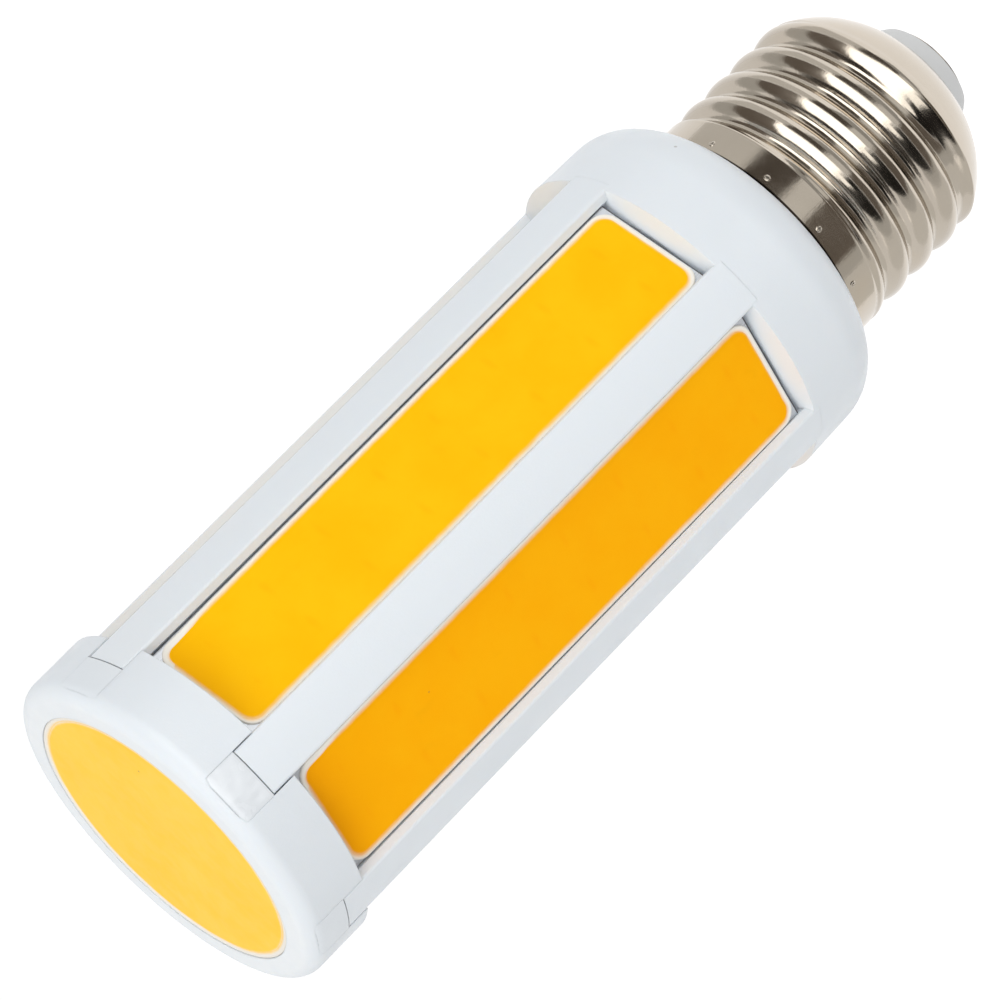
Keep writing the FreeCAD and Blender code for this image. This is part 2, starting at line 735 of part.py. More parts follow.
# Core tube: six flats that the strips are bonded to, corners cut flat under the bars
core_out = primitive("Prism", "core_flats", {
    "Circumradius": "dims.plate_back / cos(30)",
    "Height": "dims.core_len",
    "Placement.Base.z": "dims.deck_z",
}, False)
core_out.Polygon = 6
core_out.Placement.Rotation = Rot(V(0, 0, 1), 30.0)
core_cut = primitive("Prism", "core_corners", {
    "Circumradius": "dims.core_corner / cos(30)",
    "Height": "dims.core_len",
    "Placement.Base.z": "dims.deck_z",
}, False)
core_cut.Polygon = 6
core_body = doc.addObject("Part::MultiCommon", "core_body")
core_body.Shapes = [core_out, core_cut]
core_in = primitive("Prism", "core_bore_flats", {
    "Circumradius": "dims.core_bore / cos(30)",
    "Height": "dims.core_len + 2",
    "Placement.Base.z": "dims.deck_z - 1",
}, False)
core_in.Polygon = 6
core_in.Placement.Rotation = Rot(V(0, 0, 1), 30.0)
core_in_cut = primitive("Prism", "core_bore_corners", {
    "Circumradius": "(dims.core_corner - dims.core_wall) / cos(30)",
    "Height": "dims.core_len + 2",
    "Placement.Base.z": "dims.deck_z - 1",
}, False)
core_in_cut.Polygon = 6
core_bore = doc.addObject("Part::MultiCommon", "core_bore")
core_bore.Shapes = [core_in, core_in_cut]
slot_tools = [core_bore]
for i in range(3):
    turn = 60.0 * i
    tool = primitive("Box", "core_slot_%d" % (i + 1), {
        "Length": "dims.plate_back * 2 + 4",
        "Width": "dims.core_slot_w",
        "Height": "dims.core_slot_depth + 1",
        "Placement.Base.x": "-(dims.plate_back + 2) * cos(%g) + dims.core_slot_w / 2 * sin(%g)"
                            % (turn, turn),
        "Placement.Base.y": "-(dims.plate_back + 2) * sin(%g) - dims.core_slot_w / 2 * cos(%g)"
                            % (turn, turn),
        "Placement.Base.z": "dims.end_plate_low_z - dims.core_slot_depth",
    }, False)
    tool.Placement.Rotation = Rot(V(0, 0, 1), turn)
    slot_tools.append(tool)
core_tools = doc.addObject("Part::MultiFuse", "core_tools")
core_tools.Shapes = slot_tools
core_tube = doc.addObject("Part::Cut", "core_tube")
core_tube.Label = "core_tube"
core_tube.Base = core_body
core_tube.Tool = core_tools
nodes.append(core_tube)

# Link board under the end light, where the strip leads meet the feed wires
primitive("Cylinder", "link_board", {
    "Radius": "dims.link_r",
    "Height": "dims.link_th",
    "Placement.Base.z": "dims.link_low_z",
})

# Parts on the driver board
primitive("Cylinder", "electrolytic_cap", {
    "Radius": "dims.elcap_r",
    "Height": "dims.elcap_len",
    "Placement.Base.y": "dims.board_th / 2 + dims.elcap_r",
    "Placement.Base.z": "dims.elcap_z",
})
for label, key, sign in (("inductor", "coil", 1), ("film_cap", "film", 1),
                         ("bridge_rectifier", "bridge", -1), ("driver_chip", "chip", -1)):
    depth = "dims.board_th / 2" if sign > 0 else "-dims.board_th / 2 - dims.%s_y" % key
    primitive("Box", label, {
        "Length": "dims.%s_w" % key,
        "Width": "dims.%s_y" % key,
        "Height": "dims.%s_len" % key,
        "Placement.Base.x": "-dims.%s_w / 2" % key,
        "Placement.Base.y": depth,
        "Placement.Base.z": "dims.%s_z" % key,
    })
primitive("Cylinder", "fuse_resistor", {
    "Radius": "dims.fuse_r",
    "Height": "dims.fuse_len",
    "Placement.Base.x": "-dims.fuse_x",
    "Placement.Base.y": "dims.board_th / 2 + dims.fuse_r",
    "Placement.Base.z": "dims.fuse_z",
})

# Wiring: supply wires at the cap, feed wires up the core, short leads to the lights
primitive("Cylinder", "live_wire", {
    "Radius": "dims.wire_r",
    "Height": "dims.board_low_z - dims.shank_top_z",
    "Placement.Base.z": "dims.shank_top_z",
})
neutral = primitive("Cylinder", "neutral_wire", {
    "Radius": "dims.wire_r",
    "Height": "dims.bore_r - dims.board_tail_half_w - dims.tail_fit",
    "Placement.Base.x": "dims.board_tail_half_w",
    "Placement.Base.z": "dims.tail_z",
})
neutral.Placement.Rotation = Rot(V(0, 1, 0), 90.0)
for label, side in (("feed_wire_plus", ""), ("feed_wire_minus", "-")):
    primitive("Cylinder", label, {
        "Radius": "dims.wire_r",
        "Height": "dims.link_low_z - dims.board_top_z",
        "Placement.Base.x": side + "dims.feed_x",
        "Placement.Base.z": "dims.board_top_z",
    })
for label, side in (("end_lead_plus", ""), ("end_lead_minus", "-")):
    primitive("Cylinder", label, {
        "Radius": "dims.lead_r",
        "Height": "dims.link_gap",
        "Placement.Base.x": side + "dims.feed_x",
        "Placement.Base.z": "dims.link_top_z",
    })

for i in range(6):
    turn = 60.0 * i
    lead = new_body("strip_lead_%d" % (i + 1), turn)
    wire = new_sketch(lead, "XY_Plane", "plate_top_z")
    index = wire.addGeometry(
        Part.Circle(V(val("lead_off"), 0, 0), V(0, 0, 1), val("lead_r")), False)
    wire.addConstraint(Sketcher.Constraint("PointOnObject", index, 3, -1))
    rule = wire.addConstraint(Sketcher.Constraint("DistanceX", -1, 1, index, 3, val("lead_off")))
    wire.setExpression("Constraints[%d]" % rule, "dims.lead_off")
    rule = wire.addConstraint(Sketcher.Constraint("Radius", index, val("lead_r")))
    wire.setExpression("Constraints[%d]" % rule, "dims.lead_r")
    route = new_sketch(lead, "XZ_Plane")
    outline(route, [
        ("lead_off", "plate_top_z"),
        ("lead_off", "lead_z - lead_bend_r"),
        ("lead_off - lead_bend_r", "lead_z"),
        ("lead_end", "lead_z"),
    ], {1: ("lead_bend_r", 1)}, True)
    bent = lead.newObject("PartDesign::AdditivePipe", lead.Name + "_swept")
    bent.Profile = wire
    bent.Spine = (route, ["Edge1", "Edge2", "Edge3"])

doc.recompute()

# Every object must be sound before anything is written
for item in doc.Objects:
    states = [s for s in item.State if s in ("Invalid", "Error")]
    assert not states, "%s is %s" % (item.Label, states)
for item in nodes:
    shape = item.Shape
    assert not shape.isNull(), item.Label + " has no shape"
    assert shape.isValid(), item.Label + " is not valid"
    assert len(shape.Solids) == 1, "%s has %d solids" % (item.Label, len(shape.Solids))
    assert shape.Volume > 0.01, item.Label + " is empty"

os.makedirs("parts", exist_ok=True)
for item in nodes:
    item.Shape.exportStep("parts/%s.step" % item.Label)
print("nodes", len(nodes))
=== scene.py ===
import math

import bpy
from mathutils import Matrix, Vector, noise


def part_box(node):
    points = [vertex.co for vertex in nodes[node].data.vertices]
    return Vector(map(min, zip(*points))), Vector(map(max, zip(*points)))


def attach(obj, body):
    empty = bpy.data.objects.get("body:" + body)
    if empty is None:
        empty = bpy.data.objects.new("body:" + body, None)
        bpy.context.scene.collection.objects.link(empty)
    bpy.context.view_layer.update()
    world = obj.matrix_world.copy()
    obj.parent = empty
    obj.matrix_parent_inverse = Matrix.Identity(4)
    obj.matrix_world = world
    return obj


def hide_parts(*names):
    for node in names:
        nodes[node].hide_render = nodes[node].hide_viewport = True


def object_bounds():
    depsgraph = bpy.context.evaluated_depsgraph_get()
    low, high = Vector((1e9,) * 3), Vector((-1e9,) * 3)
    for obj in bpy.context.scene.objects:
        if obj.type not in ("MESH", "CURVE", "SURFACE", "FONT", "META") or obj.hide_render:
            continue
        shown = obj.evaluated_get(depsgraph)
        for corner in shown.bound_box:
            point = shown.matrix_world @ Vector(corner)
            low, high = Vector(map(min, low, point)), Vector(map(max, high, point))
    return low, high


# Corn LED bulb over its CAD model. The origin is the tip of the centre contact, +Z runs along
# the axis to the end light, and one of the six bars faces -Y.
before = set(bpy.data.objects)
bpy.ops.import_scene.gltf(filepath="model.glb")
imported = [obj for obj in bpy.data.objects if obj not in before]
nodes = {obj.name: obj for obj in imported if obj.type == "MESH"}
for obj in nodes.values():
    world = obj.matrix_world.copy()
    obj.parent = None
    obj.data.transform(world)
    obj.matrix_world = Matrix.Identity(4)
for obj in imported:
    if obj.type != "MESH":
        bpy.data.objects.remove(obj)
cad_low, cad_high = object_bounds()
MM = 0.001

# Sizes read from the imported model, in metres
PLATE_LOW, PLATE_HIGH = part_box("cob_plate_1")
PLATE_FACE = PLATE_HIGH.x
DAM_LOW, DAM_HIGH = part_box("cob_dam_1")
GLOW_LOW, GLOW_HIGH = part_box("cob_phosphor_1")
END_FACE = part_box("end_plate")[1].z
END_DAM_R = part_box("end_dam")[1].x
END_GLOW_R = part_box("end_phosphor")[1].x
RING_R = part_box("front_ring")[1].x
BAR_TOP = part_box("housing")[1].z

# Six strips at even bearings, with a bar midway between each two
SIDES = 6
SIDE_STEP = 360.0 / SIDES
GLUED_BAR, BACK_BAR = 4, 1  # the bar that faces the camera, and the one opposite
PAINTED_LIT_STRIPS = (1, 2, 6)  # painted light: their gel is a lighter, more yellow copy of the others' orange gel

# Details of the lights and of the front ring, in metres
DAM_CORNER, GLOW_CORNER = 1.9 * MM, 1.65 * MM
CHIP_Z, CHIP_STEP = 43.8 * MM, 7.67 * MM  # height of the lowest chips, step to the next
CHIP_ROW = 2.85 * MM  # from the middle of a strip to each of its two rows
PAINTED_BOUNCE_FROM, PAINTED_BOUNCE_TO = 95.5 * MM, 103.0 * MM  # heights over which painted shade and bounced orange light deepen the gel's colour
RING_EDGE = 1.7 * MM  # radius of the ring's front edge
PANEL_FROM, PANEL_TO = 0.11 * MM, 3.95 * MM  # from the bars' ends along the ring
GLUE_HALF, FILLER_HALF = 2.86 * MM, 3.02 * MM  # half widths of what fills the panels

# Details in millimetres
STRIP_LIFT, END_LIFT = 0.20, 0.44  # the gel's height over its plate at the rim
STRIP_FADE, END_FADE = 0.62, 0.40  # from the rim to where the gel has its full colour
STRIP_DAM, END_DAM = 0.44, 0.72  # widths of the dams
STRIP_OUT, END_OUT = 0.20, 0.60  # how far the dam's outer foot lies outside the gel
STRIP_CROWN, END_CROWN = 0.035, 0.11  # how far the dam stands above the gel
FAR_REACH = 0.21  # how much further out a dam's foot lies along its strip's far side
STAIN = 0.20  # how much further out the gel's colour runs there
DAM_COLOUR_EDGE = 0.26  # distance from the rim that a dam's inner edge has the colour of

# Share of the housing's brightness that the ring's colour has, a touch darker
RING_TONE = 0.962

# Screw cap in millimetres: heights from the tip, radii, and the thread that winds round it
DOME_Z, SHOULDER_Z, ROOT_Z, BAND_Z, NECK_Z = 3.55, 8.9, 9.9, 23.33, 27.45
MOUTH_R, SHOULDER_R, ROOT_R, BAND_R, CREST_R = 7.3, 12.88, 12.25, 13.15, 13.22
DOME_ARC = 10.8
PITCH, THREAD_TURNS = 3.629, 4.445
THREAD_Z, THREAD_START = 8.87, 226.6  # height and bearing in degrees of the thread's start
CREST_SHARE = 0.76  # the crest arc's share of the crest and root arcs together
RUN_IN, RUN_OUT = 0.25, 0.12  # turns over which the thread rises and dies away
DOT_Z, DOT_START, DOT_STEP = 26.1, math.radians(19.4), math.radians(30.0)  # punched dots
NECK_SHADE_FROM, NECK_SHADE_TO = 26.85, 26.95  # painted shade on the band where it meets the neck, for the neck's contact shadow and dark reflection


class Finish:
    """One procedural material, with short names for the nodes that make its pattern."""

    def __init__(self, name, rough=0.5, metal=0.0, specular=0.5):
        self.mat = bpy.data.materials.new(name)
        self.mat.use_nodes = True
        self.tree = self.mat.node_tree
        self.shader = self.tree.nodes["Principled BSDF"]
        self.shader.inputs["Metallic"].default_value = metal
        self.shader.inputs["Roughness"].default_value = rough
        self.shader.inputs["Specular IOR Level"].default_value = specular
        self.place = self.add("ShaderNodeTexCoord").outputs["Object"]

    def add(self, kind, **settings):
        node = self.tree.nodes.new(kind)
        for key, value in settings.items():
            setattr(node, key, value)
        return node

    def put(self, source, target):
        """Feeds an input from a node output or from a plain value."""
        if isinstance(source, bpy.types.NodeSocket):
            self.tree.links.new(source, target)
        else:
            target.default_value = source

    def stretched(self, scale):
        """Object position scaled along each axis, for patterns that run one way."""
        node = self.add("ShaderNodeVectorMath", operation="MULTIPLY")
        self.put(self.place, node.inputs[0])
        node.inputs[1].default_value = scale
        return node.outputs[0]

    def noise(self, scale, detail=3.0, rough=0.55, place=None, distortion=0.0):
        node = self.add("ShaderNodeTexNoise")
        self.put(place or self.place, node.inputs["Vector"])
        node.inputs["Scale"].default_value = scale
        node.inputs["Detail"].default_value = detail
        node.inputs["Roughness"].default_value = rough
        node.inputs["Distortion"].default_value = distortion
        return node.outputs["Fac"]

    def math(self, operation, a, b=0.0, c=0.0):
        node = self.add("ShaderNodeMath", operation=operation)
        for socket, value in zip(node.inputs, (a, b, c)):
            self.put(value, socket)
        return node.outputs[0]

    def ramp(self, value, low, high, bottom=0.0, top=1.0):
        """Smooth step of a value from low to high."""
        node = self.add("ShaderNodeMapRange", interpolation_type="SMOOTHSTEP")
        for key, item in (("Value", value), ("From Min", low), ("From Max", high),
                          ("To Min", bottom), ("To Max", top)):
            self.put(item, node.inputs[key])
        return node.outputs["Result"]

    def length(self, a, b):
        """Length of the hypotenuse over two sides."""
        return self.math("SQRT", self.math("ADD", self.math("MULTIPLY", a, a),
                                           self.math("MULTIPLY", b, b)))

    def bearing(self):
        """Angle round the bulb's axis and height along it."""
        split = self.add("ShaderNodeSeparateXYZ")
        self.put(self.place, split.inputs[0])
        around = self.math("ARCTAN2", split.outputs[1], split.outputs[0])
        return around, split.outputs[2]

    def off_centre(self, steps, shift):
        """How far a value counted in steps lies from the middle of its step, -0.5 to 0.5."""
        return self.math("SUBTRACT", self.math("FRACT", self.math("ADD", steps, shift)), 0.5)

    def blend(self, share, a, b):
        node = self.add("ShaderNodeMix", data_type="RGBA")
        self.put(share, node.inputs["Factor"])
        for item, socket in ((a, node.inputs[6]), (b, node.inputs[7])):
            self.put(item if isinstance(item, bpy.types.NodeSocket) else (*item, 1.0), socket)
        return node.outputs[2]

    def specks(self, scale, size, share, seed=0.0):
        """Scattered round specks: a cell spacing, a size within the cell, a share of cells."""
        moved = self.add("ShaderNodeVectorMath", operation="ADD")
        self.put(self.place, moved.inputs[0])
        moved.inputs[1].default_value = (seed, seed * 0.7, seed * 0.3)
        cells = self.add("ShaderNodeTexVoronoi")
        self.put(moved.outputs[0], cells.inputs["Vector"])
        cells.inputs["Scale"].default_value = scale
        parts = self.add("ShaderNodeSeparateColor")
        self.put(cells.outputs["Color"], parts.inputs[0])
        chosen = self.math("LESS_THAN", parts.outputs[0], share)
        spot = self.ramp(cells.outputs["Distance"], size * 0.5, size, 1.0, 0.0)
        return self.math("MULTIPLY", spot, chosen)

    def colour(self, value):
        self.put(value if isinstance(value, bpy.types.NodeSocket) else (*value, 1.0),
                 self.shader.inputs["Base Color"])

    def roughness(self, value):
        self.put(value, self.shader.inputs["Roughness"])

    def relief(self, height, depth, strength=1.0, edge=0.0):
        """Bump of a given depth in metres, over edges rounded by a small radius."""
        bump = self.add("ShaderNodeBump")
        bump.inputs["Strength"].default_value = strength
        bump.inputs["Distance"].default_value = depth
        self.put(height, bump.inputs["Height"])
        if edge:
            bevel = self.add("ShaderNodeBevel", samples=4)
            bevel.inputs["Radius"].default_value = edge
            self.put(bevel.outputs[0], bump.inputs["Normal"])
        self.put(bump.outputs[0], self.shader.inputs["Normal"])

    def soft(self, weight, radius, scale):
        """Light that scatters under the surface."""
        self.shader.inputs["Subsurface Weight"].default_value = weight
        self.shader.inputs["Subsurface Radius"].default_value = radius
        self.shader.inputs["Subsurface Scale"].default_value = scale


# Materials. The object position that their patterns use is in metres.

def white_plastic(name, scattering, tone=1.0):
    """Cool white moulding with a soft sheen, faint stains and a few specks of dirt."""
    def shade(*colour):
        return tuple(tone * c for c in colour)

    f = Finish(name, specular=0.45)
    cloud = f.noise(70.0, 4.0)
    base = f.blend(cloud, shade(0.735, 0.773, 0.802), shade(0.760, 0.797, 0.824))
    warm = f.ramp(f.noise(28.0, 2.0), 0.56, 0.74, 0.0, 0.35)
    base = f.blend(warm, base, shade(0.775, 0.768, 0.745))
    grit = f.specks(240.0, 0.05, 0.10)
    f.colour(f.blend(f.math("MULTIPLY", grit, 0.55), base, (0.30, 0.27, 0.24)))
    f.roughness(f.ramp(f.noise(420.0, 3.0), 0.3, 0.7, 0.34, 0.48))
    waves = f.math("MULTIPLY", f.noise(190.0, 2.0), 2.2)
    f.relief(f.math("ADD", waves, f.noise(3600.0, 2.0)), 0.012 * MM, 0.8, 0.16 * MM)
    if scattering:
        f.soft(scattering, (1.0, 0.75, 0.55), 1.2 * MM)
    return f.mat


def glue():
    """Clear glue that dried in streaks."""
    f = Finish("dried_glue", specular=0.6)
    cloud = f.noise(500.0, 3.0)
    f.colour(f.blend(cloud, (0.695, 0.724, 0.748), (0.762, 0.788, 0.808)))
    f.roughness(f.ramp(f.noise(600.0, 2.0), 0.3, 0.7, 0.14, 0.30))
    f.relief(f.noise(260.0, 2.0, 0.5, f.stretched((1.0, 1.0, 0.5)), 1.0), 0.10 * MM)
    return f.mat


def phosphor(name, deep, pale, rim, specks, seed, strips=True):
    """Cured phosphor gel: deep colour inside, cream where it thins out at the dam."""
    f = Finish(name, specular=0.03)
    edge = f.add("ShaderNodeAttribute", attribute_name="edge").outputs["Fac"]
    # The piece's own distances from the rim, in mm, made a little ragged
    ragged = f.math("MULTIPLY_ADD", f.noise(700.0, 3.0), 0.16, edge)
    inside = f.ramp(ragged, -0.06, STRIP_FADE if strips else END_FADE)
    cloud = f.noise(130.0, 4.0, 0.6)
    body = f.blend(f.ramp(cloud, 0.35, 0.68), deep, pale)
    blotch = f.ramp(f.noise(330.0, 3.0), 0.62, 0.78, 0.0, 0.14)
    body = f.blend(blotch, body, tuple(c * 0.82 for c in deep))
    if strips:
        body = chip_rows(f, body, deep)
    col = f.blend(inside, rim, body)
    dust = f.specks(300.0, 0.055, 0.06, seed)
    col = f.blend(f.math("MULTIPLY", dust, 0.75), col, specks)
    flecks = f.specks(420.0, 0.07, 0.04, seed + 3.1)
    f.colour(f.blend(f.math("MULTIPLY", flecks, 0.5), col, (0.95, 0.80, 0.45)))
    f.roughness(f.ramp(f.noise(700.0, 3.0), 0.3, 0.7, 0.42, 0.60))
    f.relief(f.math("ADD", f.noise(260.0, 2.0), f.math("MULTIPLY", dust, 2.0)), 0.03 * MM)
    return f.mat


def chip_rows(f, body, deep):
    """Faint shadows of the chips under a strip's gel, and the gel painted deeper beside the front
    ring, as painted shade and bounced orange light.
    """
    around, height = f.bearing()
    step = math.radians(SIDE_STEP)
    near = f.off_centre(f.math("DIVIDE", around, step), 6.5)
    side = f.math("MULTIPLY", f.math("TANGENT", f.math("MULTIPLY", near, step)), PLATE_FACE)
    # Two rows to each strip; the shadows are longer across the strip than along it
    off_row = f.math("SUBTRACT", f.math("ABSOLUTE", side), CHIP_ROW)
    off_row = f.math("MULTIPLY", off_row, 0.4)
    steps = f.math("DIVIDE", f.math("SUBTRACT", height, CHIP_Z), CHIP_STEP)
    off_chip = f.math("MULTIPLY", f.off_centre(steps, 8.5), CHIP_STEP)
    span = f.math("MULTIPLY_ADD", f.noise(900.0, 3.0), 0.35 * MM, f.length(off_row, off_chip))
    shade = f.ramp(span, 0.20 * MM, 0.75 * MM, 0.34, 0.0)
    # Painted shade and bounced orange light: the gel deepens towards the front ring
    shade = f.math("MAXIMUM", shade, f.ramp(height, PAINTED_BOUNCE_FROM, PAINTED_BOUNCE_TO, 0.0, 0.85))
    return f.blend(shade, body, tuple(c * k for c, k in zip(deep, (0.985, 0.86, 0.5))))


def dam_silicone():
    """Cream silicone with a little light in it."""
    f = Finish("dam_silicone", specular=0.5)
    cloud = f.noise(420.0, 3.0)
    f.colour(f.blend(cloud, (0.87, 0.80, 0.68), (0.91, 0.86, 0.79)))
    f.roughness(f.ramp(f.noise(800.0, 2.0), 0.3, 0.7, 0.28, 0.45))
    f.relief(f.noise(900.0, 2.0), 0.03 * MM)
    f.soft(0.4, (1.0, 0.7, 0.4), 0.6 * MM)
    return f.mat


def plate_metal(name, dark, light, rough):
    """Aluminium sheet with a fine grain along the bulb."""
    f = Finish(name, metal=0.5)
    grain = f.noise(500.0, 4.0, 0.6, f.stretched((6.0, 6.0, 0.4)))
    f.colour(f.blend(grain, dark, light))
    f.roughness(f.ramp(grain, 0.3, 0.7, rough - 0.08, rough + 0.08))
    f.relief(grain, 0.008 * MM, 0.6, 0.08 * MM)
    return f.mat


def nickel():
    """Nickel plated cap sheet: fine turning lines round it, small pits, punched dots, painted
    shade in the pits and dots, and painted shade under the neck.
    """
    f = Finish("cap_nickel", metal=1.0)
    lines = f.noise(90.0, 5.0, 0.65, f.stretched((1.0, 1.0, 22.0)))
    rubbed = f.noise(2600.0, 2.0, 0.6, f.stretched((1.0, 1.0, 0.10)))
    cloud = f.noise(150.0, 4.0, 0.6)
    base = f.blend(cloud, (0.485, 0.430, 0.360), (0.550, 0.492, 0.418))
    stain = f.ramp(f.noise(75.0, 3.0, 0.6), 0.55, 0.75, 0.0, 0.4)
    base = f.blend(stain, base, (0.53, 0.44, 0.33))
    pits = f.specks(300.0, 0.055, 0.16)

    # Punched dots round the band, each a pit with a raised burr
    around, height = f.bearing()
    steps = f.math("DIVIDE", f.math("SUBTRACT", around, DOT_START), DOT_STEP)
    side = f.math("MULTIPLY", f.off_centre(steps, 40.5), DOT_STEP * BAND_R * MM)
    span = f.length(side, f.math("SUBTRACT", height, DOT_Z * MM))
    span = f.math("MULTIPLY_ADD", f.noise(2600.0, 2.0), 0.16 * MM, span)
    pit = f.ramp(span, 0.10 * MM, 0.26 * MM, 1.0, 0.0)
    burr = f.math("MULTIPLY", f.ramp(span, 0.18 * MM, 0.28 * MM),
                  f.ramp(span, 0.28 * MM, 0.42 * MM, 1.0, 0.0))

    # Painted shade: the band turns dark just under the neck
    neck_shade = f.math("MULTIPLY_ADD", f.noise(200.0, 2.0), 0.10 * MM, height)
    neck_shade = f.ramp(neck_shade, NECK_SHADE_FROM * MM, NECK_SHADE_TO * MM)
    # Painted shade: the punched dots' hollows and the small pits are darkened
    pit_shade = f.math("MAXIMUM", f.math("MULTIPLY", pits, 0.6), f.math("MULTIPLY", pit, 0.75))
    pit_shade = f.blend(pit_shade, base, (0.20, 0.17, 0.13))
    f.colour(f.blend(neck_shade, pit_shade, (0.035, 0.028, 0.022)))
    f.roughness(f.ramp(f.noise(260.0, 4.0), 0.35, 0.7, 0.11, 0.20))

    relief = f.math("MULTIPLY", lines, 0.03)
    for pattern, share in ((f.noise(330.0, 3.0), 0.05), (f.noise(2800.0, 2.0), 0.020),
                           (rubbed, 0.022), (pits, -0.10), (burr, 0.35), (pit, -1.0)):
        relief = f.math("MULTIPLY_ADD", pattern, share, relief)
    f.relief(relief, 0.20 * MM)
    return f.mat


def plain(name, dark, light, rough=0.5, metal=0.0):
    """Two close colours in a fine cloud, with a matching roughness and a light relief."""
    f = Finish(name, metal=metal)
    cloud = f.noise(500.0, 3.0)
    f.colour(f.blend(cloud, dark, light))
    f.roughness(f.ramp(cloud, 0.3, 0.7, rough - 0.06, rough + 0.06))
    f.relief(f.noise(1500.0, 2.0), 0.01 * MM)
    return f.mat


# Mesh helpers

# Points of a rounded rectangle: on each corner, and on each short and long side
CORNER_POINTS, SIDE_POINTS = 10, (30, 150)
# Depths in mm of the gel's rings of points under its rim
GEL_RINGS = (0.0, 0.06, 0.14, 0.24, 0.38, 0.56, 0.8, 1.2, 1.8, 2.7)


def piece_from(name, points, faces, mat, rounded=True):
    """A visible piece that rides on the bulb, smooth shaded or flat."""
    mesh = bpy.data.meshes.new(name)
    mesh.from_pydata(points, [], faces)
    mesh.update()
    for polygon in mesh.polygons:
        polygon.use_smooth = rounded
    mesh.materials.append(mat)
    item = bpy.data.objects.new(name, mesh)
    bpy.context.scene.collection.objects.link(item)
    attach(item, "root")
    return item


def bridge(rows, closed=True):
    """Quads between rows of the same number of points."""
    count = len(rows[0])
    points = [p for row in rows for p in row]
    faces = []
    for r in range(len(rows) - 1):
        for c in range(count if closed else count - 1):
            d = (c + 1) % count
            faces.append((r * count + c, r * count + d, (r + 1) * count + d, (r + 1) * count + c))
    return points, faces


def round_rectangle(low, high, corner, inset=0.0):
    """Points of a rounded rectangle with their inward directions, the same count for any inset."""
    u0, u1 = low[0] + inset, high[0] - inset
    v0, v1 = low[1] + inset, high[1] - inset
    radius = max(corner - inset, 0.02 * MM)
    radius = min(radius, (u1 - u0) * 0.49, (v1 - v0) * 0.49)
    centres = [(u1 - radius, v1 - radius), (u0 + radius, v1 - radius),
               (u0 + radius, v0 + radius), (u1 - radius, v0 + radius)]
    out = []
    for k, centre in enumerate(centres):
        for i in range(CORNER_POINTS):
            a = math.radians(90.0 * k + 90.0 * i / CORNER_POINTS)
            out.append((centre[0] + radius * math.cos(a), centre[1] + radius * math.sin(a),
                        -math.cos(a), -math.sin(a)))
        a = math.radians(90.0 * k + 90.0)
        after = centres[(k + 1) % 4]
        first = (centre[0] + radius * math.cos(a), centre[1] + radius * math.sin(a))
        last = (after[0] + radius * math.cos(a), after[1] + radius * math.sin(a))
        count = SIDE_POINTS[k % 2]
        for i in range(count):
            t = i / count
            out.append((first[0] + (last[0] - first[0]) * t, first[1] + (last[1] - first[1]) * t,
                        -math.cos(a), -math.sin(a)))
    return out


def strip_point(turn, u, v, height):
    """A point over a strip's face: u across it, v up the bulb, height outwards."""
    return Matrix.Rotation(math.radians(turn), 3, "Z") @ Vector((PLATE_FACE + height, u, v))


def smooth(low, high, value):
    """Zero at low, one at high, with soft ends."""
    t = min(max((value - low) / (high - low), 0.0), 1.0)
    return t * t * (3.0 - 2.0 * t)


def set_edge(item, values):
    """Keeps each point's distance from the rim for the material."""
    layer = item.data.attributes.new("edge", "FLOAT", "POINT")
    layer.data.foreach_set("value", values)


# Pieces

def gel_height(depth, lift):
    """Height in mm of the gel over its plate at a distance in mm from its rim."""
    return lift + 0.06 * smooth(0.0, 0.5, depth) + 0.03 * smooth(0.4, 4.0, depth)


def far_side(u):
    """One along the side of a strip that lies at the smaller bearing, else zero."""
    return smooth(-4.5, -5.9, u / MM)


def gel_surface(name, node, loops, place, mat, lift, stain=0.0):
    """Phosphor gel: rings of points from its rim inwards, crowned a little, with its skirt."""
    rows, edges = [], []
    rim = loops[0][1]
    rows.append([place(p[0], p[1], 0.0) for p in rim])
    edges += [0.0] * len(rim)
    for inset, points in loops:
        depth = inset / MM
        row = []
        for p in points:
            wave = 0.012 * noise.noise(Vector((p[0], p[1], 0.0)) * 260.0)
            row.append(place(p[0], p[1], (gel_height(depth, lift) + wave) * MM))
            edges.append(depth + stain * far_side(p[0]))
        rows.append(row)
    points, faces = bridge(rows)
    count = len(rim)
    start = (len(rows) - 1) * count
    faces.append(tuple(range(start, start + count)))
    item = piece_from(name, points, faces, mat)
    set_edge(item, edges)
    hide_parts(node)


def dam_bead(name, node, rim, shape_at, crown, lift, place, mat):
    """Silicone dam, laid along the rim a bit uneven, that runs out level onto the gel.

    shape_at gives, in mm, how far the rim lies outside the gel, the bead's width, and how
    far the colour of the gel runs out over it.
    """
    # Pairs of a share of the bead's width, from its outer foot, and a share of its height
    profile = ((0.0, 0.0), (0.02, 0.55), (0.08, 0.85), (0.18, 0.97), (0.32, 1.0), (0.5, 1.0),
               (0.68, 1.0), (0.84, 1.0), (1.0, 1.0))
    rows, edges = [], []
    for t, rise in profile:
        row = []
        for x, y, nx, ny in rim:
            outside, w, stain = shape_at(x, y)
            height = gel_height(w * t - outside, lift)
            height += crown * (1.0 - smooth(0.3, 1.0, t)) - 0.008 * t
            row.append(place(x + nx * w * t * MM, y + ny * w * t * MM, height * rise * MM))
            edges.append(DAM_COLOUR_EDGE - w * (1.0 - t) + stain)
        rows.append(row)
    points, faces = bridge(rows)
    item = piece_from(name, points, faces, mat)
    set_edge(item, edges)
    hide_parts(node)


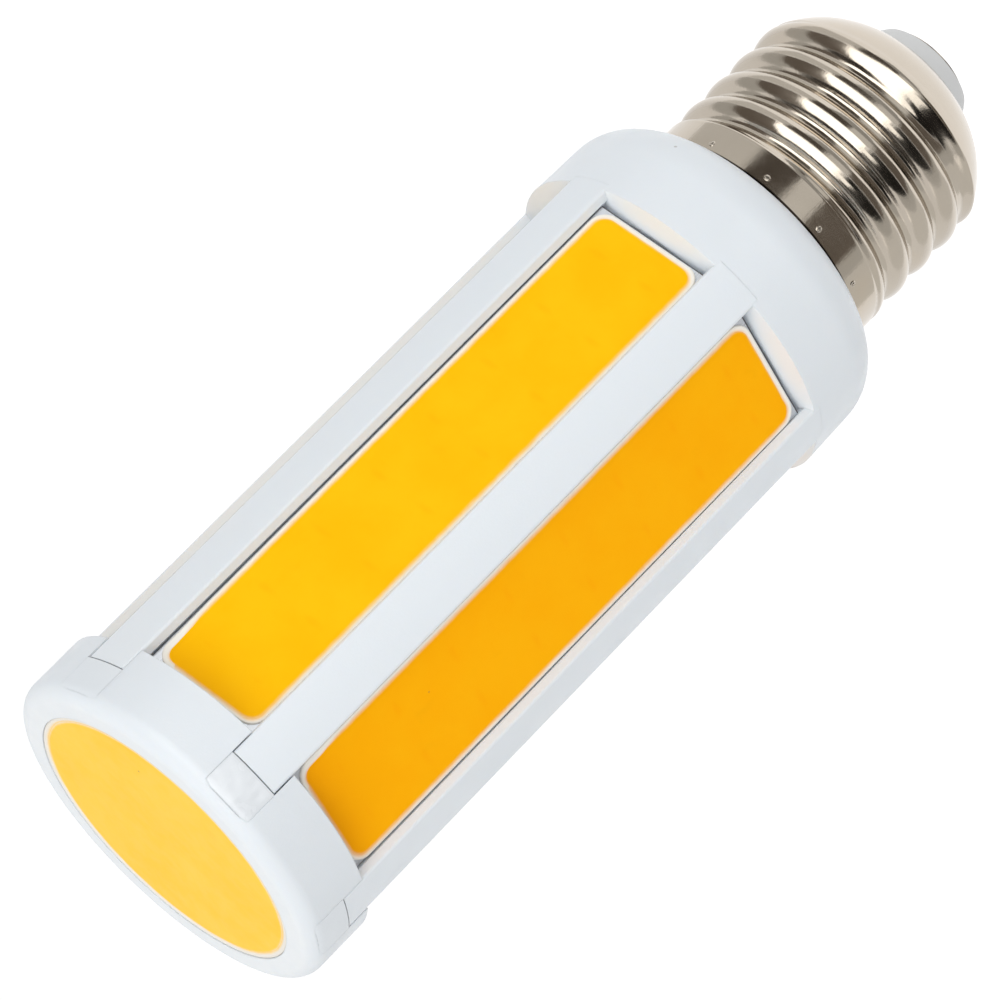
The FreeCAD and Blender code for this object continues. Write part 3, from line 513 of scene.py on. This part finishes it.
def make_strip(index, mats):
    """One strip's gel, its dam and the lines at its plate's edges."""
    turn = SIDE_STEP * index
    tag = index + 1
    # Painted light: strips on the lit side take a lighter, yellower copy of the gel, the others a
    # darker, more orange one
    gel = mats["gel_yellow"] if tag in PAINTED_LIT_STRIPS else mats["gel"]

    def place(u, v, height):
        return strip_point(turn, u, v, height)

    low, high = (GLOW_LOW.y, GLOW_LOW.z), (GLOW_HIGH.y, GLOW_HIGH.z)
    loops = [(i * MM, round_rectangle(low, high, GLOW_CORNER, i * MM))
             for i in (*GEL_RINGS, 3.8, 4.9, 5.6)]
    gel_surface("gel_%d" % tag, "cob_phosphor_%d" % tag, loops, place, gel,
                STRIP_LIFT, STAIN)

    low, high = (DAM_LOW.y - FAR_REACH * MM, DAM_LOW.z), (DAM_HIGH.y, DAM_HIGH.z)
    rim = round_rectangle(low, high, DAM_CORNER, 0.10 * MM)

    def shape_at(u, v):
        spot = Vector((u * 300.0, v * 300.0, tag * 7.3))
        width = STRIP_DAM + 0.05 * noise.noise(spot) + 0.03 * noise.noise(spot * 3.1)
        from_front, from_base = (high[1] - v) / MM, (v - low[1]) / MM
        if u > high[0] - 2.2 * MM:
            # A thick blob of silicone near the front, on the side of the larger bearing
            blob = math.exp(-((from_front - 2.4) / 2.6) ** 2)
            width += 0.62 * blob * (0.8 + 0.5 * noise.noise(Vector((tag * 3.7, 1.0, 2.0))))
        # Wider along the far side, and at the low end
        width += FAR_REACH * far_side(u) + 0.20 * math.exp(-(from_base / 1.6) ** 2)
        return STRIP_OUT + FAR_REACH * far_side(u), width, STAIN * far_side(u)

    dam_bead("dam_bead_%d" % tag, "cob_dam_%d" % tag, rim, shape_at, STRIP_CROWN, STRIP_LIFT,
             place, gel)
    make_plate_lines(tag, place, mats["ink_and_shade_line"])


def make_plate_lines(tag, place, mat):
    """Dark lines on a strip's plate: two along one side, a painted shade line and a printed
    hairline, and one at its low end.
    """
    low, high = (PLATE_LOW.y, PLATE_LOW.z), (PLATE_HIGH.y, PLATE_HIGH.z)
    points, faces = [], []

    def add_quad(corners, height):
        first = len(points)
        points.extend(place(u, v, height * MM) for u, v in corners)
        faces.append((first, first + 1, first + 3, first + 2))

    # A painted shade line at the edge of the larger bearing, for the gap beside the bar, and a
    # printed hairline inside it, both wider low down
    for start, stop in ((0.0, 1.0), (1.9, 2.1)):
        add_quad([(high[0] - wide * share * MM, v) for v, wide in ((low[1], 0.07), (high[1], 0.05))
                  for share in (start, stop)], 0.006)
    add_quad([(u, v) for v in (low[1], low[1] + 0.12 * MM) for u in (low[0], high[0])], 0.007)
    piece_from("plate_lines_%d" % tag, points, faces, mat, False)


def make_end_light(mats):
    """The round end light's gel and its dam."""
    count = 240

    def circle(radius, inset=0.0):
        out = []
        for i in range(count):
            a = 2.0 * math.pi * i / count
            c, s = math.cos(a), math.sin(a)
            out.append(((radius - inset) * c, (radius - inset) * s, -c, -s))
        return out

    def place(x, y, height):
        return Vector((x, y, END_FACE + height))

    loops = [(i * MM, circle(END_GLOW_R, i * MM)) for i in (*GEL_RINGS, 4.0, 6.0, 8.5, 11.0, 13.2)]
    gel_surface("gel_end", "end_phosphor", loops, place, mats["end_gel"],
                END_LIFT)

    def shape_at(x, y):
        spot = Vector((x * 160.0, y * 160.0, 4.0))
        side = 0.14 * math.cos(math.atan2(y, x) - math.radians(95.0))
        return END_OUT, END_DAM + 0.06 * noise.noise(spot) + side, 0.0

    dam_bead("dam_bead_end", "end_dam", circle(END_DAM_R + 0.10 * MM), shape_at, END_CROWN,
             END_LIFT, place, mats["end_gel"])


def make_glue_patch(index, mat, half, sink, unevenness):
    """Glue that fills the sunk panel beyond a bar end and takes on the shape of the ring.

    half is half its width in metres. It lies lower than the ring by sink, and by more where it
    is uneven, both in mm.
    """
    turn = Matrix.Rotation(math.radians(SIDE_STEP * (index + 0.5)), 3, "Z")
    across, along = 32, 24
    low, high = BAR_TOP + PANEL_FROM, BAR_TOP + PANEL_TO
    round_from = cad_high.z - RING_EDGE
    rows = []
    for j in range(along + 1):
        row = []
        for i in range(across + 1):
            u, t = 2.0 * i / across - 1.0, j / along
            z = low + (high - low) * t
            spot = Vector((u * 1.6, t * 1.1, index * 5.3 + 1.0))
            rise = max(z - round_from, 0.0)
            radius = RING_R - RING_EDGE + math.sqrt(RING_EDGE ** 2 - rise ** 2)
            rim = min(1.0 - abs(u), 2.0 * t, 2.0 * (1.0 - t))
            down = sink * (0.5 + smooth(0.14, 0.0, rim))
            down += unevenness * (0.5 + 0.5 * noise.noise(spot) + 0.3 * noise.noise(spot * 2.7))
            radius -= max(down, 0.004) * MM
            side = u * half
            row.append(turn @ Vector((math.sqrt(radius ** 2 - side ** 2), side, z)))
        rows.append(row)
    points, faces = bridge(rows, False)
    piece_from("glue_patch_%d" % (index + 1), points, faces, mat)


def cap_base(z):
    """Radius of the cap sheet in mm at a height in mm, without its thread."""
    if z < SHOULDER_Z:
        across, up = SHOULDER_R - MOUTH_R, SHOULDER_Z - DOME_Z
        chord = math.hypot(across, up)
        reach = math.sqrt(DOME_ARC ** 2 - (chord / 2) ** 2)
        middle_r = (MOUTH_R + SHOULDER_R) / 2 - up / chord * reach
        middle_z = (DOME_Z + SHOULDER_Z) / 2 + across / chord * reach
        return middle_r + math.sqrt(DOME_ARC ** 2 - (middle_z - z) ** 2)
    sunk = smooth(SHOULDER_Z, ROOT_Z + 0.2, z) * (SHOULDER_R - ROOT_R)
    raised = smooth(BAND_Z - 0.4, BAND_Z + 0.5, z) * (BAND_R - ROOT_R)
    return SHOULDER_R - sunk + raised


def thread_ridge(off, base):
    """Radius at a distance from the crest line: a wide round crest and a narrow round root."""
    half, depth = PITCH / 2, CREST_R - ROOT_R
    arcs = (half ** 2 + depth ** 2) / (2 * depth)
    crest_arc = arcs * CREST_SHARE
    root_arc = arcs - crest_arc
    if off >= half:
        return base
    if off < half * crest_arc / arcs:
        return CREST_R - crest_arc + math.sqrt(crest_arc ** 2 - off ** 2)
    return ROOT_R + root_arc - math.sqrt(root_arc ** 2 - (half - off) ** 2)


def cap_radius(angle, z):
    """Outer radius of the cap sheet in mm: dome, shoulder, thread and band."""
    base = cap_base(z)
    best = base
    turned = (math.degrees(angle) - THREAD_START) % 360.0 / 360.0
    for k in range(-1, 6):
        at = turned + k
        if not 0.0 <= at <= THREAD_TURNS:
            continue
        ridge = thread_ridge(abs(z - THREAD_Z - PITCH * at), base)
        share = smooth(0.0, RUN_IN, at) * smooth(0.0, RUN_OUT, THREAD_TURNS - at)
        share *= smooth(BAND_Z + 0.9, BAND_Z - 0.3, z)
        ridge = base + (ridge - base) * share
        blend = 0.08
        gap = max(blend - abs(best - ridge), 0.0) / blend
        best = max(best, ridge) + gap * gap * blend * 0.25
    return min(best, CREST_R)


def make_cap(mat):
    """The cap's outer sheet, turned in at its mouth and tucked under the neck at its band."""
    columns = 288
    angles = [2.0 * math.pi * c / columns for c in range(columns)]
    band_from = BAND_Z + 1.3

    def spread(start, stop, count):
        return [start + (stop - start) * i / count for i in range(count)]

    def ring(radius, z):
        return [(radius * MM * math.cos(a), radius * MM * math.sin(a), z * MM) for a in angles]

    heights = spread(DOME_Z, SHOULDER_Z, 28) + spread(SHOULDER_Z, band_from, 124)
    heights += spread(band_from, NECK_Z - 0.1, 10) + [NECK_Z - 0.1]
    rows = [ring(MOUTH_R - 0.3, DOME_Z + 0.5), ring(MOUTH_R - 0.27, DOME_Z + 0.12),
            ring(MOUTH_R - 0.12, DOME_Z + 0.02)]
    for z in heights:
        row = []
        for a in angles:
            radius = cap_radius(a, z)
            row.append((radius * MM * math.cos(a), radius * MM * math.sin(a), z * MM))
        rows.append(row)
    rows += [ring(BAND_R - 0.07, NECK_Z - 0.04), ring(BAND_R - 0.2, NECK_Z),
             ring(BAND_R - 0.25, NECK_Z + 1.0)]
    points, faces = bridge(rows)
    item = piece_from("cap_sheet", points, faces, mat)
    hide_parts("cap_shell")


# Camera and light

def make_camera():
    """The photograph's camera: its place, lens and roll were found from the bulb's outline."""
    data = bpy.data.cameras.new("camera")
    data.lens = 262.6
    data.sensor_width = 36.0
    data.clip_start = 0.05
    data.clip_end = 20.0
    camera = bpy.data.objects.new("camera", data)
    bpy.context.scene.collection.objects.link(camera)
    bearing = math.radians(-85.02)
    distance, height, aim_height, sideways = 637.40 * MM, 302.06 * MM, 62.93 * MM, -0.10 * MM
    roll = math.radians(-135.38)
    camera.location = (distance * math.cos(bearing), distance * math.sin(bearing), height)
    aim = Vector((0.0, 0.0, aim_height)) - camera.location
    camera.location += Vector((-math.sin(bearing), math.cos(bearing), 0.0)) * sideways
    level = aim.to_track_quat("-Z", "Y").to_matrix().to_4x4()
    turned = Matrix.Rotation(roll, 4, "Z")
    camera.matrix_world = Matrix.Translation(camera.location) @ level @ turned
    bpy.context.scene.camera = camera


# Heights that the lamps are aimed at and that the cards lie round
BULB_MIDDLE, CAP_MIDDLE = 55.0 * MM, 18.0 * MM


def towards(bearing, rise):
    """Direction at a compass bearing and a rise, both in degrees."""
    a, e = math.radians(bearing), math.radians(rise)
    return Vector((math.cos(a) * math.cos(e), math.sin(a) * math.cos(e), math.sin(e)))


def area_light(name, bearing, rise, distance, width, height, power, colour=(1.0, 1.0, 1.0)):
    """Soft box at a compass bearing and a rise in degrees, aimed at the bulb's middle."""
    data = bpy.data.lights.new(name, "AREA")
    data.shape = "RECTANGLE"
    data.size = width
    data.size_y = height
    data.energy = power
    data.color = colour
    light = bpy.data.objects.new(name, data)
    bpy.context.scene.collection.objects.link(light)
    away = towards(bearing, rise)
    light.location = Vector((0.0, 0.0, BULB_MIDDLE)) + away * distance
    light.rotation_mode = "QUATERNION"
    light.rotation_quaternion = (-away).to_track_quat("-Z", "Z")
    light.visible_camera = False


def card(name, bearings, rises, distance, shine, tint=(1.0, 1.0, 0.98)):
    """Curved card round the screw cap with soft edges. Only reflections see it."""
    steps = 12
    middle = Vector((0.0, 0.0, CAP_MIDDLE))
    points, soft = [], []
    for j in range(steps + 1):
        for i in range(steps + 1):
            bearing = bearings[0] + (bearings[1] - bearings[0]) * i / steps
            rise = rises[0] + (rises[1] - rises[0]) * j / steps
            points.append(middle + towards(bearing, rise) * distance)
            soft.append(min(i, j, steps - i, steps - j))
    faces = []
    for j in range(steps):
        for i in range(steps):
            k = j * (steps + 1) + i
            faces.append((k, k + 1, k + steps + 2, k + steps + 1))
    mesh = bpy.data.meshes.new(name)
    mesh.from_pydata(points, [], faces)
    f = Finish(name, rough=0.9, specular=0.0)
    f.colour((0.01, 0.01, 0.01))
    f.put(f.blend(f.noise(9.0), tuple(0.93 * c for c in tint), tint),
          f.shader.inputs["Emission Color"])
    f.shader.inputs["Emission Strength"].default_value = shine
    edge = f.add("ShaderNodeAttribute", attribute_name="edge").outputs["Fac"]
    f.put(f.ramp(edge, 0.0, 1.0), f.shader.inputs["Alpha"])
    f.mat.cycles.emission_sampling = "NONE"
    mesh.materials.append(f.mat)
    item = bpy.data.objects.new(name, mesh)
    bpy.context.scene.collection.objects.link(item)
    set_edge(item, soft)
    item.visible_camera = False
    item.visible_diffuse = False
    item.visible_shadow = False
    item.visible_transmission = False


def seen_share(tree):
    """One for camera, glossy and transmission rays, else zero."""
    path = tree.nodes.new("ShaderNodeLightPath")
    total = path.outputs["Is Camera Ray"]
    for key in ("Is Glossy Ray", "Is Transmission Ray"):
        node = tree.nodes.new("ShaderNodeMath")
        node.operation = "MAXIMUM"
        tree.links.new(total, node.inputs[0])
        tree.links.new(path.outputs[key], node.inputs[1])
        total = node.outputs[0]
    return total


def make_world():
    """Plain fill light, and plain white where the camera or a reflection sees the world."""
    world = bpy.data.worlds.new("studio")
    world.use_nodes = True
    tree = world.node_tree
    fill = tree.nodes["Background"]
    fill.inputs["Color"].default_value = (0.97, 0.98, 1.0, 1.0)
    fill.inputs["Strength"].default_value = 0.66
    shown = tree.nodes.new("ShaderNodeBackground")
    shown.inputs["Color"].default_value = (1.0, 1.0, 1.0, 1.0)
    shown.inputs["Strength"].default_value = 1.0
    mix = tree.nodes.new("ShaderNodeMixShader")
    tree.links.new(seen_share(tree), mix.inputs[0])
    tree.links.new(fill.outputs[0], mix.inputs[1])
    tree.links.new(shown.outputs[0], mix.inputs[2])
    tree.links.new(mix.outputs[0], tree.nodes["World Output"].inputs["Surface"])
    bpy.context.scene.world = world


def make_floor():
    """White paper far below, which glows a little where it is seen."""
    mesh = bpy.data.meshes.new("floor")
    reach, level = 4.0, -0.30
    mesh.from_pydata([(-reach, -reach, level), (reach, -reach, level),
                      (reach, reach, level), (-reach, reach, level)], [], [(0, 1, 2, 3)])
    f = Finish("floor_paper", rough=0.9, specular=0.1)
    f.colour(f.blend(f.noise(3.0), (0.86, 0.86, 0.86), (0.88, 0.88, 0.88)))
    glow = f.add("ShaderNodeEmission")
    f.put(f.math("MULTIPLY", seen_share(f.tree), 0.45), glow.inputs["Strength"])
    both = f.add("ShaderNodeAddShader")
    f.put(f.shader.outputs[0], both.inputs[0])
    f.put(glow.outputs[0], both.inputs[1])
    f.put(both.outputs[0], f.tree.nodes["Material Output"].inputs["Surface"])
    mesh.materials.append(f.mat)
    floor = bpy.data.objects.new("floor", mesh)
    bpy.context.scene.collection.objects.link(floor)


def make_lights():
    """Four soft lamps, and round the cap the studio's soft boxes and dark flags."""
    # Bearing and rise in degrees, distance, width and height in metres, power in watts
    area_light("key", -47.0, 12.0, 0.7, 0.9, 0.4, 1.45)
    area_light("top", -100.0, 62.0, 0.9, 0.8, 0.8, 3.8)
    area_light("side", -165.0, 10.0, 0.9, 0.6, 0.8, 0.64, (1.0, 0.96, 0.91))
    area_light("back", 95.0, 40.0, 0.9, 0.6, 0.6, 0.5, (1.0, 0.76, 0.46))
    # Ranges of bearing and of rise in degrees, distance in metres, brightness
    warm = (1.0, 0.86, 0.74)
    card("soft_box", (-99.0, -31.0), (-9.0, 49.0), 0.60, 2.8)
    card("soft_box_end", (-113.0, -96.0), (13.0, 37.0), 0.33, 1.9)
    card("flag_above", (-190.0, 22.0), (48.0, 78.0), 0.44, 0.04, warm)
    card("flag_right", (-151.0, -100.0), (-16.0, 52.0), 0.34, 0.01, warm)
    card("flag_right_low", (-152.0, -100.0), (-72.0, -13.0), 0.36, 0.16, warm)
    card("flag_far", (-166.0, -148.0), (-72.0, 38.0), 0.38, 0.62)
    card("flag_farther", (-206.0, -162.0), (-64.0, 32.0), 0.42, 0.86)
    card("flag_left", (-78.0, -35.0), (-43.0, -9.0), 0.30, 0.10, warm)
    card("flag_middle", (-103.0, -75.0), (-44.0, -8.0), 0.31, 0.88)
    card("flag_low", (-106.0, -44.0), (-74.0, -39.0), 0.32, 0.45)
    card("flag_side", (-34.0, 12.0), (-15.0, 52.0), 0.40, 0.17, warm)
    card("flag_side_far", (9.0, 34.0), (-17.0, 44.0), 0.42, 0.58)
    card("flag_side_low", (-40.0, 32.0), (-82.0, -13.0), 0.46, 0.80)


def dress_nodes(mats):
    """Gives every CAD node its material."""
    looks = {
        "housing": "white", "front_ring": "ring", "cap_insulator": "insulator",
        "centre_contact": "contact", "end_plate": "plate", "core_tube": "core",
        "driver_board": "board", "link_board": "board", "electrolytic_cap": "sleeve",
        "inductor": "tape", "film_cap": "film", "bridge_rectifier": "chip",
        "driver_chip": "chip", "fuse_resistor": "fuse", "live_wire": "red",
        "neutral_wire": "black", "feed_wire_plus": "red", "feed_wire_minus": "black",
        "end_lead_plus": "bare", "end_lead_minus": "bare", "cap_shell": "cap",
        "end_dam": "dam", "end_phosphor": "end_gel",
    }
    for i in range(1, SIDES + 1):
        looks["cob_plate_%d" % i] = "plate"
        looks["cob_dam_%d" % i] = "dam"
        looks["cob_phosphor_%d" % i] = "gel"
        looks["strip_lead_%d" % i] = "bare"
    for name, item in nodes.items():
        item.data.materials.clear()
        item.data.materials.append(mats[looks[name]])


# Colours of the strips' gel where it thins out at the dam, and of the dust on it
strip_rim, strip_dust = (0.90, 0.86, 0.78), (0.35, 0.20, 0.06)
mats = {
    "white": white_plastic("white_plastic", 0.12),
    "ring": white_plastic("white_ring", 0.12, RING_TONE),
    "filler": white_plastic("white_filler", 0.0, RING_TONE),
    "glue": glue(),
    # Lit and shaded copies of one gel, painted light: the orange copy darker, the yellow copy
    # lighter
    "gel": phosphor("phosphor_gel", (0.993, 0.424, 0.001), (0.998, 0.450, 0.002),
                    strip_rim, strip_dust, 0.0),
    "gel_yellow": phosphor("phosphor_gel_painted_lit", (0.975, 0.505, 0.002), (0.985, 0.54, 0.004),
                           strip_rim, strip_dust, 2.0),
    "end_gel": phosphor("end_phosphor_gel", (0.98, 0.585, 0.066), (0.985, 0.613, 0.084),
                        (0.80, 0.765, 0.70), (0.45, 0.30, 0.12), 5.0, False),
    "dam": dam_silicone(),
    "plate": plate_metal("strip_plate", (0.62, 0.65, 0.69), (0.74, 0.77, 0.81), 0.34),
    "ink_and_shade_line": plain("plate_line", (0.05, 0.05, 0.06), (0.10, 0.10, 0.11)),
    "core": plate_metal("core_aluminium", (0.55, 0.56, 0.57), (0.70, 0.71, 0.72), 0.42),
    "cap": nickel(),
    "insulator": plain("cap_insulator", (0.62, 0.625, 0.62), (0.665, 0.67, 0.665), 0.55),
    "contact": plain("contact_metal", (0.42, 0.36, 0.30), (0.60, 0.54, 0.46), 0.32, 1.0),
    "board": plain("board", (0.02, 0.14, 0.06), (0.03, 0.20, 0.08), 0.4),
    "sleeve": plain("black_sleeve", (0.015, 0.015, 0.018), (0.03, 0.03, 0.035), 0.35),
    "tape": plain("coil_tape", (0.62, 0.48, 0.08), (0.72, 0.58, 0.12), 0.4),
    "film": plain("film_case", (0.45, 0.10, 0.05), (0.55, 0.14, 0.07), 0.4),
    "chip": plain("black_plastic", (0.012, 0.012, 0.013), (0.03, 0.03, 0.03), 0.6),
    "fuse": plain("fuse_coat", (0.10, 0.22, 0.16), (0.14, 0.28, 0.20), 0.5),
    "red": plain("wire_red", (0.50, 0.02, 0.02), (0.60, 0.03, 0.03), 0.4),
    "black": plain("wire_black", (0.012, 0.012, 0.012), (0.03, 0.03, 0.03), 0.4),
    "bare": plain("tinned_wire", (0.55, 0.55, 0.56), (0.70, 0.70, 0.71), 0.3, 1.0),
}

scene = bpy.context.scene
scene.view_settings.view_transform = "Standard"
make_camera()
make_world()
make_floor()
make_lights()
dress_nodes(mats)
make_cap(mats["cap"])
for strip in range(SIDES):
    make_strip(strip, mats)
make_end_light(mats)
for bar in range(SIDES):
    if bar == GLUED_BAR:
        make_glue_patch(bar, mats["glue"], GLUE_HALF, 0.035, 0.10)
    else:
        make_glue_patch(bar, mats["filler"], FILLER_HALF, 0.05 if bar == BACK_BAR else 0.0, 0.0)
